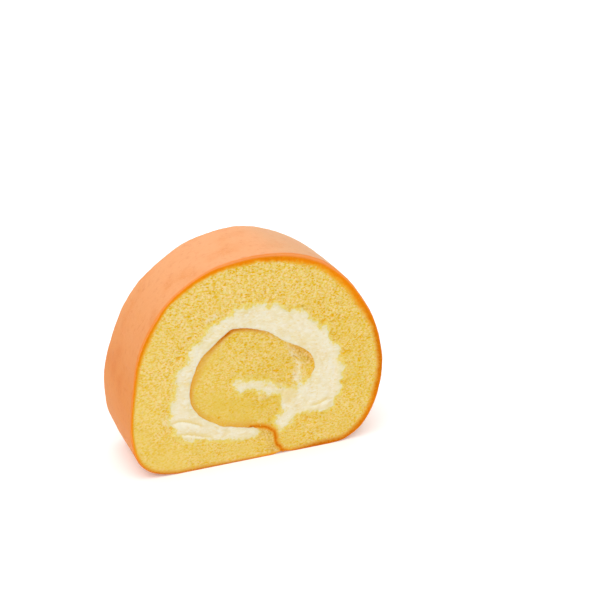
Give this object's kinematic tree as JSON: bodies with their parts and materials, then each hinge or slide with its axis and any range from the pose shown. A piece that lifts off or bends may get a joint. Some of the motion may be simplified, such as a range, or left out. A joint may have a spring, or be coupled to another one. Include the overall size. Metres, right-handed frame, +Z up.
{
  "type": "swiss roll cake slice",
  "caption": "Upright slice of vanilla swiss roll: a rolled sponge sheet with its browned skin outwards, filled with a spiral of whipped cream, standing on its flattened underside.",
  "frame": {"origin": "middle of the flat underside, at the centre of the bounding box's bottom", "axes": "+X along the cut faces, to the right seen from the near cut face; +Y through the slice, from the near cut face to the far one; +Z up"},
  "size_m": [0.082, 0.0274, 0.0656],
  "materials": {
    "sponge": "fine open sponge crumb at the cuts, smooth matt orange-brown baked skin outside",
    "cream": "smooth whipped cream with soft knife smears and a faint sheen"
  },
  "bodies": {
    "root": {"sponge_sheet": "sponge", "cream_filling": "cream"}
  },
  "joints": []
}
